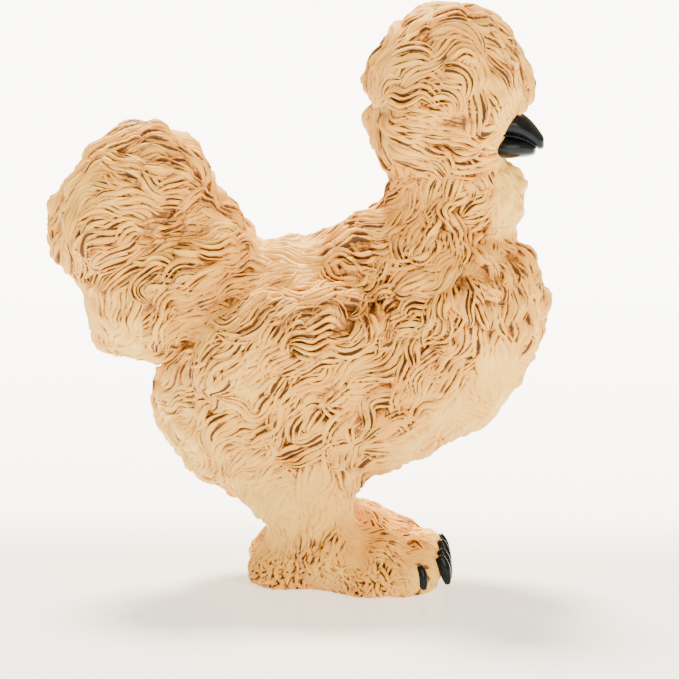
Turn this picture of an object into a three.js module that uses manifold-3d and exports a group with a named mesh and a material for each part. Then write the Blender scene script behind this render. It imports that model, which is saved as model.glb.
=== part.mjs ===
// A moulded toy figure of a silkie hen, 59 mm tall, standing on both of its feathered feet.
// +X is the way the bird faces, +Y its left side and +Z up, with the floor at z = 0. Sizes are in millimetres.
// The figure is one smooth form, blended from rounded masses. Thin cuts part it where a person would name its
// parts, and the crest, neck, torso, wings and tail carry their sculpted locks of plumage as raised, tapered,
// wavy forms that are fused to them.
import * as THREE from "three";
import { mergeVertices } from "three/addons/utils/BufferGeometryUtils.js";
import Module from "manifold-3d";

const wasm = await Module();
wasm.setup();

// Driving dimensions
const HEIGHT = 58.8;
const CREST_RADIUS = 8.1;
const CREST_HALF_WIDTH = CREST_RADIUS + 0.1;
const CREST_X = 15.4;
const CREST_Z = HEIGHT - CREST_RADIUS - 0.7;
const TORSO_X = 3.5;
const TORSO_Z = 20.2;
const TORSO_HALF_WIDTH = 12.4;
const BREAST_X = 14.6;
const TAIL_X = -14.8;
const TAIL_HALF_WIDTH = 7.4;
const LEG_X = 1;
const LEG_SPREAD = 5.6;
const TOE_SPREAD = 8.8;
const GAP = 0.3;

// How the masses blend, how finely the form is followed, and a size that is larger than the whole figure
const BLEND = 2.6;
const PROBE = 0.05;
const RAY_STEP = 0.4;
const BEYOND = 140;
const DEG = Math.PI / 180;

// How the locks are spread, shaped and varied
const LOCK_SEED = 53;
const LOCK_TRIES = 40000;
const LOCK_STEPS = 4;
const LOCK_SINK = 0.45;
const LOCK_SHOULDER = 0.5;
const CLEAR_LENGTH = 0.75;
const CLEAR_WIDTH = 0.8;
const SIZE_SPREAD = 0.3;
const WAVE_SPREAD = 0.8;
const WAVE_TURN = 4.5;
const DROOP = 0.2;
const GUIDE_SOFTNESS = 0.6;

// Rounded masses of the figure: centre, radii along length, width and height, and how far the front end is
// pitched up in degrees. A paired mass stands on both sides of the middle plane.
const MASSES = [
  { name: "belly", at: [TORSO_X, 0, TORSO_Z], radii: [15.6, TORSO_HALF_WIDTH, 10.4], pitch: 12 },
  { name: "breast", at: [BREAST_X, 0, 28.2], radii: [10.1, 10.8, 9.4] },
  { name: "keel", at: [BREAST_X - 2, 0, 20.1], radii: [8.2, 9.2, 5.8] },
  { name: "rump", at: [TORSO_X - 8.7, 0, TORSO_Z - 1.8], radii: [8.7, 10, 8.6] },
  { name: "back", at: [TORSO_X - 2, 0, 27], radii: [12, 9.6, 7.3], pitch: -3 },
  { name: "hackle", at: [9, 0, 33], radii: [9.4, 7.6, 5], pitch: 26 },
  { name: "neck", at: [CREST_X, 0, 37.4], radii: [5.6, 6.2, 8.2] },
  { name: "beard", at: [CREST_X + 4.5, 0, 38.6], radii: [2.9, 4.8, 4.4] },
  { name: "crest", at: [CREST_X, 0, CREST_Z], radii: [CREST_RADIUS, CREST_HALF_WIDTH, CREST_HALF_WIDTH] },
  { name: "nape", at: [CREST_X - 3, 0, CREST_Z - 4.6], radii: [4.4, 6, 3.6] },
  { name: "cheek", at: [CREST_X + 1.6, 0, CREST_Z - 5], radii: [4.2, 5.2, 4] },
  { name: "tail crown", at: [TAIL_X + 0.3, 0, 39.9], radii: [6.4, TAIL_HALF_WIDTH - 0.6, 6.4] },
  { name: "tail shoulder", at: [TAIL_X - 3.4, 0, 38.6], radii: [4.4, TAIL_HALF_WIDTH - 1.6, 4.2] },
  { name: "tail back", at: [TAIL_X - 4.4, 0, 36], radii: [5.4, TAIL_HALF_WIDTH, 5.6] },
  { name: "tail fluff", at: [TAIL_X - 0.4, 0, 28.6], radii: [6.4, TAIL_HALF_WIDTH + 0.6, 6.6] },
  { name: "tail root", at: [TAIL_X + 5.2, 0, 31.4], radii: [5.6, 7.8, 7] },
  { name: "wing", at: [-1.2, TORSO_HALF_WIDTH - 2.2, 24.8], radii: [8.8, 3.6, 5], pitch: 16, paired: true },
  { name: "thigh", at: [LEG_X - 1, LEG_SPREAD, 11.4], radii: [6.2, 4.6, 4.6], paired: true },
  { name: "shank", at: [LEG_X, LEG_SPREAD, 7.4], radii: [4, 3.9, 6], paired: true },
  { name: "heel", at: [LEG_X - 2.2, LEG_SPREAD - 1, 1.6], radii: [3.5, 3.6, 3], paired: true },
  { name: "instep", at: [LEG_X + 4, LEG_SPREAD + 1.4, 2.8], radii: [5.4, 4.3, 3.3], pitch: -14, paired: true },
  { name: "toes", at: [LEG_X + 8.4, TOE_SPREAD, 1.9], radii: [4.8, 4.5, 2.8], pitch: -14, paired: true },
].map(({ pitch = 0, ...mass }) => ({ ...mass, cos: Math.cos(pitch * DEG), sin: Math.sin(pitch * DEG) }));

function massDistance({ at, radii, cos, sin, paired }, x, y, z) {
  const dx = x - at[0];
  const dz = z - at[2];
  const u = (dx * cos + dz * sin) / radii[0];
  const v = ((paired ? Math.abs(y) : y) - at[1]) / radii[1];
  const w = (dz * cos - dx * sin) / radii[2];
  const far = Math.hypot(u, v, w);
  const slope = Math.hypot(u / radii[0], v / radii[1], w / radii[2]);
  return slope > 1e-9 ? (far * (far - 1)) / slope : -Math.min(...radii);
}

// The figure's smooth form: negative inside, positive outside, about a distance in mm near the surface
function form(x, y, z) {
  let d = 1e3;
  for (const mass of MASSES) {
    const e = massDistance(mass, x, y, z);
    const h = Math.max(BLEND - Math.abs(d - e), 0) / BLEND;
    d = Math.min(d, e) - (h * h * BLEND) / 4;
  }
  return d;
}

function formNormal(p) {
  return new THREE.Vector3(
    form(p.x + PROBE, p.y, p.z) - form(p.x - PROBE, p.y, p.z),
    form(p.x, p.y + PROBE, p.z) - form(p.x, p.y - PROBE, p.z),
    form(p.x, p.y, p.z + PROBE) - form(p.x, p.y, p.z - PROBE),
  ).normalize();
}

function ontoForm(p) {
  for (let i = 0; i < 4; i++) p.addScaledVector(formNormal(p), -form(p.x, p.y, p.z));
  return p;
}

// Solids from three.js geometry, and back
function solidOf(geometry, tolerance = 1e-4) {
  const bare = new THREE.BufferGeometry().setAttribute("position", geometry.getAttribute("position"));
  const merged = mergeVertices(bare.setIndex(geometry.index), tolerance);
  const corners = Array.from(merged.index.array);
  const kept = [];
  for (let i = 0; i < corners.length; i += 3) {
    const [a, b, c] = corners.slice(i, i + 3);
    if (a !== b && b !== c && a !== c) kept.push(a, b, c);
  }
  const mesh = new wasm.Mesh({
    numProp: 3,
    vertProperties: merged.getAttribute("position").array,
    triVerts: new Uint32Array(kept),
  });
  return new wasm.Manifold(mesh);
}

function geometryOf(solid) {
  const { vertProperties, triVerts, numProp } = solid.getMesh();
  const count = vertProperties.length / numProp;
  const positions = new Float32Array(count * 3);
  for (let i = 0; i < count; i++) positions.set(vertProperties.subarray(i * numProp, i * numProp + 3), i * 3);
  const geometry = new THREE.BufferGeometry();
  geometry.setAttribute("position", new THREE.BufferAttribute(positions, 3));
  geometry.setIndex(new THREE.BufferAttribute(new Uint32Array(triVerts), 1));
  geometry.computeVertexNormals();
  return geometry;
}

// The form as seen outwards from a point inside it, up to the first surface that each ray meets
function blownForm(centre, detail) {
  const ball = new THREE.IcosahedronGeometry(1, detail).deleteAttribute("normal").deleteAttribute("uv");
  const sphere = mergeVertices(ball);
  const points = sphere.getAttribute("position");
  const ray = new THREE.Vector3();
  for (let i = 0; i < points.count; i++) {
    ray.fromBufferAttribute(points, i).normalize();
    let near = 0;
    let far = RAY_STEP;
    while (form(...pointOn(centre, ray, far)) < 0) {
      near = far;
      far += RAY_STEP;
    }
    for (let halving = 0; halving < 12; halving++) {
      const middle = (near + far) / 2;
      if (form(...pointOn(centre, ray, middle)) < 0) near = middle;
      else far = middle;
    }
    points.setXYZ(i, ...pointOn(centre, ray, near));
  }
  return solidOf(sphere);
}

function pointOn(centre, ray, length) {
  return [centre[0] + ray.x * length, centre[1] + ray.y * length, centre[2] + ray.z * length];
}

// Everything on the side of a plane that its normal points to. The plane leans by tilt about the Y axis.
function halfSpace({ at, tilt }, back) {
  const box = new THREE.BoxGeometry(BEYOND, BEYOND, BEYOND).translate(0, 0, BEYOND / 2 + back);
  box.rotateY(-tilt * DEG).translate(...at);
  return solidOf(box);
}

// An egg-shaped envelope that marks off a part lying on another, such as a folded wing.
function envelope({ at, radii, pitch = 0 }, side, grow) {
  const egg = new THREE.SphereGeometry(1, 22, 12).scale(radii[0] + grow, radii[1] + grow, radii[2] + grow);
  egg.rotateY(-pitch * DEG).translate(at[0], side * at[1], at[2]);
  return solidOf(egg);
}

// The planes and envelopes that part the figure
const FLOOR = { at: [0, 0, 0], tilt: 0 };
const NECK_BASE = { at: [12, 0, 34.9], tilt: -3 };
const HEAD_BASE = { at: [CREST_X, 0, 42.2], tilt: 0 };
const TAIL_BASE = { at: [-9.6, 0, 28.8], tilt: 57 };
const LEG_TOP = { at: [LEG_X, 0, 10.2], tilt: 0 };
const FOOT_TOP = { at: [LEG_X, 0, 6.2], tilt: 14 };
const WING_SHELL = { at: [-1.6, TORSO_HALF_WIDTH + 1.2, 25], radii: [10.4, 4.6, 6.4], pitch: 16 };
const BEARD_SHELL = { at: [22.6, 0, 38.6], radii: [5, 6.2, 5.2] };

function above(plane) {
  return halfSpace(plane, GAP / 2);
}

function below(plane) {
  return halfSpace({ at: plane.at, tilt: plane.tilt + 180 }, GAP / 2);
}

function besideMiddle(side) {
  const box = new THREE.BoxGeometry(BEYOND, BEYOND, BEYOND);
  return solidOf(box.translate(0, side * (BEYOND / 2 + GAP / 2), 0));
}

// The plumage that is sculpted in locks, by regions: a lock's length, width, relief over the form and wave in
// degrees, and how the locks lie. Each guide of the lie is read in the side view: x, z, and which way the locks
// run there from root to tip, in degrees from straight ahead, counted upwards.
const PLUMAGE = {
  crest: {
    length: 8.6, width: 4.2, height: 1, wave: 24,
    lie: [
      [14, 59, 0], [20, 57, -35], [23.3, 53, -72], [23, 49, -100], [17, 55, -8], [18.5, 51, -18],
      [10, 57, 172], [7.6, 52.5, 238], [7.2, 48.5, 265], [12.5, 51.5, 215], [13, 47.5, -12], [18, 46, 4],
      [9.5, 45.5, -60],
    ],
  },
  neck: {
    length: 8, width: 3.8, height: 0.85, wave: 20,
    lie: [
      [10.5, 42.8, -75], [13.5, 41, -100], [8.5, 39.5, 214], [4, 38, 205], [11, 37.5, 214], [16, 40, -108],
      [20.6, 40, -90],
    ],
  },
  torso: {
    length: 12, width: 5, height: 1.1, wave: 24,
    lie: [
      [14.5, 33.5, 228], [10.5, 30.5, 206], [5.4, 33.6, 190], [0.3, 30.5, 196], [5.4, 26.5, 208],
      [10.5, 24.4, 214], [21.7, 32.5, -78], [24.7, 29.5, -94], [18.6, 29.5, -98], [17.6, 34.6, -70],
      [18.6, 22.4, -112], [8.4, 16.3, 205], [0.3, 14.2, 214], [-6.8, 15.2, 212], [3.4, 11.2, -100],
      [-10.9, 19.3, 192], [-6, 31, 172],
    ],
  },
  wing: {
    length: 9, width: 4, height: 0.85, wave: 18,
    lie: [
      [3, 29.5, 190], [-2.8, 28.5, 184], [-7.8, 27.5, 216], [-9.4, 24.4, 262], [-3.8, 25, 196],
      [0.3, 23.4, 205], [-5, 21.4, 230],
    ],
  },
  tail: {
    length: 12, width: 5, height: 1.1, wave: 26,
    lie: [
      [-7.3, 39.7, 124], [-10.9, 45.8, 150], [-17, 46.8, 184], [-21, 44.8, 206], [-15, 42.2, 168],
      [-18, 39.7, 188], [-12, 38.1, 158], [-24, 40.7, 204], [-25.1, 36.6, 252], [-23.1, 30.5, 258],
      [-17, 33.6, 196], [-14, 29.5, 212], [-19, 27.5, 236], [-9.9, 33.6, 168], [-8, 29.5, 190],
    ],
  },
};
const WING_COVER = 0.9;

function regionAt(p) {
  if (p.z > HEAD_BASE.at[2]) return "crest";
  if (sideOf(TAIL_BASE, p) > 0) return "tail";
  if (sideOf(NECK_BASE, p) > 0) return "neck";
  if (p.z < LEG_TOP.at[2]) return "leg";
  const { at, radii } = WING_SHELL;
  const overWing = Math.hypot((p.x - at[0]) / radii[0], (p.z - at[2]) / radii[2]) < WING_COVER;
  return overWing && Math.abs(p.y) > at[1] - radii[1] ? "wing" : "torso";
}

// How far a point lies beyond a plane, on the side that its normal points to
function sideOf({ at, tilt }, p) {
  return (p.x - at[0]) * -Math.sin(tilt * DEG) + (p.z - at[2]) * Math.cos(tilt * DEG);
}

// The direction in which plumage lies at a point of the surface, along the surface
function lieAt(guides, p, normal, turn) {
  const lie = new THREE.Vector3(0, 0, -DROOP);
  let total = 0;
  const sum = new THREE.Vector3();
  for (const [x, z, heading] of guides) {
    const weight = 1 / (GUIDE_SOFTNESS + (p.x - x) ** 2 + (p.z - z) ** 2) ** 2;
    sum.x += weight * Math.cos(heading * DEG);
    sum.z += weight * Math.sin(heading * DEG);
    total += weight;
  }
  lie.addScaledVector(sum, 1 / total);
  lie.addScaledVector(normal, -lie.dot(normal)).normalize();
  return lie.applyAxisAngle(normal, turn);
}

function seededRandom(seed) {
  let state = seed;
  return () => {
    state = (state + 0x6d2b79f5) | 0;
    let t = Math.imul(state ^ (state >>> 15), 1 | state);
    t = (t + Math.imul(t ^ (t >>> 7), 61 | t)) ^ t;
    return ((t ^ (t >>> 14)) >>> 0) / 4294967296;
  };
}

// Middles of locks, spread over the figure: within a region, none lies inside the length and width of another
function combedPlaces() {
  const random = seededRandom(LOCK_SEED);
  const low = new THREE.Vector3(-27, -16, 0.8);
  const span = new THREE.Vector3(54, 32, HEIGHT);
  const near = 1;
  const offset = new THREE.Vector3();
  const places = [];
  for (let tries = 0; tries < LOCK_TRIES; tries++) {
    const at = new THREE.Vector3(random(), random(), random()).multiply(span).add(low);
    if (Math.abs(form(at.x, at.y, at.z)) > near) continue;
    ontoForm(at);
    const region = regionAt(at);
    if (region === "leg") continue;
    const { lie, length, width } = PLUMAGE[region];
    const covered = places.some((other) => {
      if (other.region !== region) return false;
      offset.subVectors(at, other.at);
      const along = offset.dot(other.lie);
      const across = offset.addScaledVector(other.lie, -along).length();
      return Math.hypot(along / (length * CLEAR_LENGTH), across / (width * CLEAR_WIDTH)) < 1;
    });
    if (!covered) places.push({ at, region, lie: lieAt(lie, at, formNormal(at), 0) });
  }
  return places;
}

// How full a lock is along its length: half at the root, in full before the middle, and narrow at the tip
function fullness(along) {
  return Math.sin(Math.PI * (0.16 + 0.74 * along)) ** 0.6;
}

// How high a lock stands along its length, as a share of its relief
function rising(along) {
  return 0.55 + 0.5 * along;
}

// One sculpted lock: a flat, tapered, wavy form that lies along the surface, its root sunk in and its tip
// raised. Each cross-section has two sunk edges and two raised shoulders.
function lockOver(middle, { lie, length, width, height, wave }, random) {
  const size = 1 + SIZE_SPREAD * (random() - 0.5);
  const phase = random() * 2 * Math.PI;
  const swing = wave * DEG * (1 + WAVE_SPREAD * (random() - 0.5));
  const p = middle.clone();
  for (let i = 0; i < LOCK_STEPS / 2; i++) {
    p.addScaledVector(lieAt(lie, p, formNormal(p), 0), (-length * size) / LOCK_STEPS);
    ontoForm(p);
  }
  const points = [];
  for (let i = 0; i <= LOCK_STEPS; i++) {
    const along = i / LOCK_STEPS;
    const normal = formNormal(p);
    const run = lieAt(lie, p, normal, swing * Math.sin(phase + along * WAVE_TURN));
    const across = new THREE.Vector3().crossVectors(normal, run);
    const half = (width / 2) * size * fullness(along);
    const rise = height * (i === 0 ? rising(0) - 1 : rising(along));
    const edge = (side) => p.clone().addScaledVector(across, side * half);
    const corner = (side, lift) => edge(side).addScaledVector(normal, lift);
    if (i === LOCK_STEPS) {
      points.push(corner(0, height / 2));
      break;
    }
    points.push(corner(-1, -LOCK_SINK), corner(-LOCK_SHOULDER, rise));
    points.push(corner(LOCK_SHOULDER, rise), corner(1, -LOCK_SINK));
    p.addScaledVector(run, (length * size) / LOCK_STEPS);
    ontoForm(p);
  }
  return closedLoft(points, 4);
}

// A closed solid from rings of points, all with the same number of points. It is capped flat at its first
// ring, and either at its last ring or, where one more point follows, drawn together to that point.
function closedLoft(points, around) {
  const faces = [];
  const rings = Math.floor(points.length / around);
  const last = (rings - 1) * around;
  const tip = points.length % around === 1 ? points.length - 1 : null;
  for (let first = 0; first < last; first += around) {
    for (let k = 0; k < around; k++) {
      const a = first + k;
      const b = first + ((k + 1) % around);
      faces.push([a, b, b + around], [a, b + around, a + around]);
    }
  }
  for (let k = 1; k + 1 < around; k++) {
    faces.push([0, k + 1, k]);
    if (tip === null) faces.push([last, last + k, last + k + 1]);
  }
  if (tip !== null) for (let k = 0; k < around; k++) faces.push([last + k, last + ((k + 1) % around), tip]);
  return facedOut(points, faces);
}

function facedOut(points, faces) {
  const geometry = new THREE.BufferGeometry().setFromPoints(points).setIndex(faces.flat());
  const solid = solidOf(geometry);
  if (solid.volume() > 0) return solid;
  return solidOf(geometry.setIndex(faces.map(([a, b, c]) => [a, c, b]).flat()));
}

// A part's core with the locks of its region fused to it, on both sides of the figure or on one
function withLocks(core, region, side = 0) {
  const random = seededRandom(LOCK_SEED + side);
  const mine = lockPlaces.filter((place) => place.region === region && place.at.y * side >= 0);
  return wasm.Manifold.union([core, ...mine.map(({ at }) => lockOver(at, PLUMAGE[region], random))]);
}

function largest(solid) {
  return solid.decompose().reduce((best, piece) => (piece.volume() > best.volume() ? piece : best));
}

// Materials
const plumage = new THREE.MeshStandardMaterial({ color: 0xe9c89b, roughness: 0.7, metalness: 0 });
const blackGloss = new THREE.MeshStandardMaterial({ color: 0x1c1b1c, roughness: 0.22, metalness: 0 });

const figure = new THREE.Group();

function addPart(name, solid, material) {
  const settled = largest(solidOf(geometryOf(largest(solid)), 1e-3));
  const mesh = new THREE.Mesh(geometryOf(settled), material);
  mesh.name = name;
  figure.add(mesh);
}

// Beak: half-widths and heights of the black bill along its length, from the root in the crest to the tip
const BEAK_Z = 43.2;
const UPPER_BILL = [
  { x: 18.6, low: 0.4, high: 3.6, half: 2.3 },
  { x: 20.6, low: 0.6, high: 4.2, half: 2.5 },
  { x: 22.2, low: 0.9, high: 4.2, half: 2.2 },
  { x: 23.4, low: 1, high: 3.6, half: 1.7 },
  { x: 24.3, low: 0.9, high: 2.7, half: 1.15 },
  { x: 24.9, low: 0.7, high: 1.8, half: 0.6 },
];
const LOWER_BILL = [
  { x: 18.6, low: 0.4, high: 2, half: 1.9 },
  { x: 20.6, low: 0, high: 2, half: 2.2 },
  { x: 22, low: 0, high: 1.8, half: 1.9 },
  { x: 23.2, low: 0.05, high: 1.4, half: 1.35 },
  { x: 24.1, low: 0.3, high: 1, half: 0.7 },
];
const BILL_SIDES = 12;

function loftedBill(stations, grow) {
  const points = [];
  for (const { x, low, high, half } of stations) {
    for (let k = 0; k < BILL_SIDES; k++) {
      const angle = (k / BILL_SIDES) * 2 * Math.PI;
      const y = (half + grow) * Math.cos(angle);
      const z = BEAK_Z + (high + low) / 2 + ((high - low) / 2 + grow) * Math.sin(angle);
      points.push(new THREE.Vector3(x, y, z));
    }
  }
  return closedLoft(points, BILL_SIDES);
}

function beakSolid(grow) {
  return loftedBill(UPPER_BILL, grow).add(loftedBill(LOWER_BILL, grow));
}

// Claws: three on each foot, laid over the fronts of the toes and curving down to the floor
const CLAWS = [
  { toe: "outer", x: 11.2, y: 12, z: 2.8, yaw: 42, length: 3.2, radius: 0.7 },
  { toe: "middle", x: 13.2, y: 9.6, z: 3.2, yaw: 12, length: 3.9, radius: 0.8 },
  { toe: "inner", x: 13.3, y: 6.6, z: 3.1, yaw: -14, length: 3.8, radius: 0.74 },
];
const CLAW_STEPS = 5;
const CLAW_SIDES = 8;

// How far a claw dips below level along its length, and how it tapers past its middle
function clawDip(along) {
  return (18 + 62 * Math.sqrt(along)) * DEG;
}

function clawTaper(along) {
  return 1 - 1.7 * Math.max(along - 0.5, 0);
}

function clawSolid({ x, y, z, yaw, length, radius }, side, grow) {
  const points = [];
  const forward = new THREE.Vector3(Math.cos(yaw * DEG), side * Math.sin(yaw * DEG), 0);
  const across = new THREE.Vector3(-forward.y, forward.x, 0);
  const up = new THREE.Vector3(0, 0, 1);
  const p = new THREE.Vector3(x, side * y, z);
  for (let i = 0; i <= CLAW_STEPS; i++) {
    const along = i / CLAW_STEPS;
    const dip = clawDip(along);
    const run = forward.clone().multiplyScalar(Math.cos(dip)).addScaledVector(up, -Math.sin(dip));
    const rise = new THREE.Vector3().crossVectors(run, across);
    const thick = radius * clawTaper(along) + grow;
    for (let k = 0; k < CLAW_SIDES; k++) {
      const angle = (k / CLAW_SIDES) * 2 * Math.PI;
      const point = p.clone().addScaledVector(across, thick * Math.cos(angle));
      points.push(point.addScaledVector(rise, thick * Math.sin(angle)));
    }
    p.addScaledVector(run, length / CLAW_STEPS);
  }
  return closedLoft(points, CLAW_SIDES);
}

const lockPlaces = combedPlaces();

// Head: the round crest, with the cheeks that the beak comes out of
const crest = withLocks(blownForm([CREST_X, 0, CREST_Z], 5), "crest");
addPart("crest", crest.intersect(above(HEAD_BASE)).subtract(beakSolid(GAP)), plumage);
addPart("beak", beakSolid(0), blackGloss);

// Neck and beard
const neckCore = blownForm([CREST_X - 0.6, 0, 38.4], 5);
const neckSpan = above(NECK_BASE).intersect(below(HEAD_BASE));
const neck = withLocks(neckCore, "neck").intersect(neckSpan);
addPart("neck", neck.subtract(envelope(BEARD_SHELL, 1, GAP)), plumage);
addPart("beard", neckCore.intersect(neckSpan).intersect(envelope(BEARD_SHELL, 1, 0)), plumage);

// Torso, with the folded wings let into its sides
let torso = withLocks(blownForm([TORSO_X + 1, 0, 22.4], 8), "torso");
torso = torso.intersect(below(NECK_BASE)).intersect(below(TAIL_BASE)).intersect(above(LEG_TOP));
for (const side of [-1, 1]) torso = torso.subtract(envelope(WING_SHELL, side, GAP));
addPart("torso", torso, plumage);
for (const [name, side] of [["wing_right", -1], ["wing_left", 1]]) {
  const wing = withLocks(blownForm([-1.6, side * (TORSO_HALF_WIDTH - 2.6), 25], 4), "wing", side);
  addPart(name, wing.intersect(envelope(WING_SHELL, side, 0)), plumage);
}

// Tail
const tail = withLocks(blownForm([TAIL_X - 0.4, 0, 34], 5), "tail");
addPart("tail", tail.intersect(above(TAIL_BASE)), plumage);

// Legs, feet and claws
for (const [suffix, side] of [["right", -1], ["left", 1]]) {
  const half = besideMiddle(side);
  const leg = blownForm([LEG_X, side * LEG_SPREAD, 8], 4);
  addPart(`leg_${suffix}`, leg.intersect(half).intersect(below(LEG_TOP)).intersect(above(FOOT_TOP)), plumage);
  let foot = blownForm([LEG_X + 3.4, side * (LEG_SPREAD + 1.2), 2.4], 5);
  foot = foot.intersect(half).intersect(below(FOOT_TOP)).intersect(halfSpace(FLOOR, 0));
  for (const claw of CLAWS) foot = foot.subtract(clawSolid(claw, side, GAP));
  addPart(`foot_${suffix}`, foot, plumage);
  for (const claw of CLAWS) {
    const aboveFloor = clawSolid(claw, side, 0).intersect(halfSpace(FLOOR, 0));
    addPart(`claw_${suffix}_${claw.toe}`, aboveFloor, blackGloss);
  }
}

export default figure;
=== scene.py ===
import math

import bpy
import numpy as np
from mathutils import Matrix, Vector


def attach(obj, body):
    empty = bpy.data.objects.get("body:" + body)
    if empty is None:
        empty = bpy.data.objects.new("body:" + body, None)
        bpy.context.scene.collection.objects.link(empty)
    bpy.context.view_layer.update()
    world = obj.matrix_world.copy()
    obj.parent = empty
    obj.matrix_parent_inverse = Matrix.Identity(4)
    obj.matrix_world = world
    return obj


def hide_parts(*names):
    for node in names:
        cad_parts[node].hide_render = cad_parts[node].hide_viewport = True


# The looks of a moulded, hand-painted toy hen: a soft cream figure whose plumage is sculpted in wavy locks,
# with a brown wash in the grooves, a glossy black beak and glossy black claws. Sizes are in millimetres,
# and MM turns them into metres where a mesh is made. +X is forwards, +Y is the bird's left and +Z is up.
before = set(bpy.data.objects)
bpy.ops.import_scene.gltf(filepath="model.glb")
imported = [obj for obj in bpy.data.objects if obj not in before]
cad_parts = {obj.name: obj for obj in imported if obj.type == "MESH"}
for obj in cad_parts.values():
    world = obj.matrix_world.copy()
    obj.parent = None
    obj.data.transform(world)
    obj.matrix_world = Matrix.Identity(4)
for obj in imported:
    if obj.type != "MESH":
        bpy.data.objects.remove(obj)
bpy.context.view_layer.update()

MM = 0.001
DEG = math.pi / 180
TINY = 1e-9
FAR_OFF = 1000.0

# Driving dimensions
HEIGHT = 58.8
CREST_RADIUS = 8.1
CREST_X = 15.4
CREST_Z = HEIGHT - CREST_RADIUS - 0.7
TORSO_X = 3.5
TORSO_Z = 20.2
TORSO_HALF_WIDTH = 12.4
BREAST_X = 14.6
TAIL_X = -14.8
TAIL_HALF_WIDTH = 7.4
LEG_X = 1.0
LEG_SPREAD = 5.6
TOE_SPREAD = 8.8

# How softly the masses of the form run into one another
BLEND = 2.6
BEARD_BLEND = 1.4
TOE_BLEND = 0.9

# Where the regions of plumage meet. The sloping borders are planes: x, z, and a lean in degrees. Each
# border wanders, by the narrow or the wide stray.
HEAD_BASE = 42.2
NECK_BASE = (12.0, 34.9, -3)
BEARD_FROM = 18.6
TAIL_BASE = (-9.6, 28.8, 57)
LEG_TOP = 10.2
FOOT_TOP = (LEG_X, 6.2, 14)
CURLS_TOP = 3.6
CURLS_TO = 11
WING = {"at": (-1.6, 25.0), "radii": (10.4, 6.4), "from_y": 8.0, "edge": 0.95, "stray": 0.1}
NARROW_STRAY = 0.8
WIDE_STRAY = 1.2

# The skin: its depth under the form, its fineness, and its height over the floor
SKIN_DEPTH = 0.12
SKIN_VOXEL = 0.4
SOLE_HEIGHT = 0.02

# Smooth noises by name: the seed, and how far across the swells are
RIPPLES = {
    "border": (3, 6), "lie": (5, 7.5), "wash": (21, 5),
    "fade": (31, 2.6), "swell": (41, 6), "lump": (43, 2.8),
}
RIPPLE_WAVES = 7
RIPPLE_SPREAD = (0.6, 1.3)
RIPPLE_CALM = 3

# Where locks are laid: how many places are tried, how many more on the feet, how much commoner small locks
# are, how far their lengths stray, and how near to each other middles may be
LOCK_SEED = 7
DRAWS = 70000
FEET_CROWDING = 6
SOLE_EDGE = 0.1
SMALL_LOCKS = 1.4
LENGTH_STRAY = 0.2
SET_ALONG = 0.37
SET_ACROSS = 0.46
BARE = 0.42

# How a lock runs: its droop, how softly guides give way to one another, and how its swings follow
DROOP = 0.2
GUIDE_SOFTNESS = 0.5
SWING_LENGTH = 4.6
SWING_SPREAD = (0.4, 1.4)

# Across a lock: the columns of a strand by their place and how deep in the groove they lie, the share of
# the half width that strands take, and the place and height of the edge beyond them
STRAND = [(0.0, 1.0), (0.11, 0.8), (0.24, 0.04), (0.5, -0.06), (0.76, 0.04), (0.89, 0.8)]
MOST_STRANDS = 6
STRANDS_EDGE = 0.9
LOCK_EDGE = 0.96
EDGE_HEIGHT = 0.45
STRAND_WIDTHS = (0.5, 1.5)
GROOVE_WANDER = 0.17
GROOVE_WAVES = ((5, 9), (14, 13))

# Along a lock: its fullness at the root and its taper, where it rises and falls, and how far its tip drops
LOCK_TAPER = (0.17, 0.75)
TAPER_POWER = 0.8
TIP_FULLNESS = 0.45
RISES = (-0.05, 0.4)
FALLS = (0.78, 1)
TIP_DROP = 0.55

# Over a lock: how its height varies, how round it is, how unequal its strands are, how deep its root and
# its edges are sunk, and how far the whole plumage swells
CROWN_SPREAD = (0.6, 1.2)
CROWN_ROUND = 0.36
UNEQUAL = 0.2
UNEQUAL_WAVES = 2.9
ROOT_SINK = 0.5
LOCK_SINK = 0.4
SWELL = 0.42
ANY_PHASE = 6.3

# Incised lines: how far they fade, where they start and end, and how deep they are without and with wash
LINES_KEPT = 0.82
LINES_FADE = (0.6, 0.45)
FADE_WAVES = (6.5, 23)
LINES_START = (0, 0.15)
LINES_END = (0.85, 1)
LINES_LEFT_AT_END = 0.7
LINE_DEPTHS = (0.08, 1.02)
DEEP_GROOVE = 0.3

# The coat's pieces: which region goes with which, which have a right and a left one, and where the breast
# parts from the torso. PATCH is the width of a lock's patch on the bake's map.
PIECE_OF = {"beard": "neck", "foot": "leg", "curls": "foot"}
SPLIT = ("torso", "wing", "leg", "foot", "curls")
BREAST_FROM = 7.0
PATCH = 0.003
UNFOLDED_HALF = 0.49

# The coarse grid in which the coat's height round about is kept
CELL = 0.5
GRID_LOW = (-30, -18, -2)
GRID_SHAPE = (120, 72, 128)
SUNK_FROM = 0.05
SUNK_SPAN = 0.7

# Beak: the plumage lies down around its middle, and no lock crosses the box around it
BEAK_MIDDLE = (22.2, 0, 44.9)
BEAK_CLEARING = 3.1
WELL_OFF_BEAK = 0.7
BEAK_BOX = {"from_x": 20.8, "half_width": 4.2, "low": 42.7, "high": 47.4}
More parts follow.
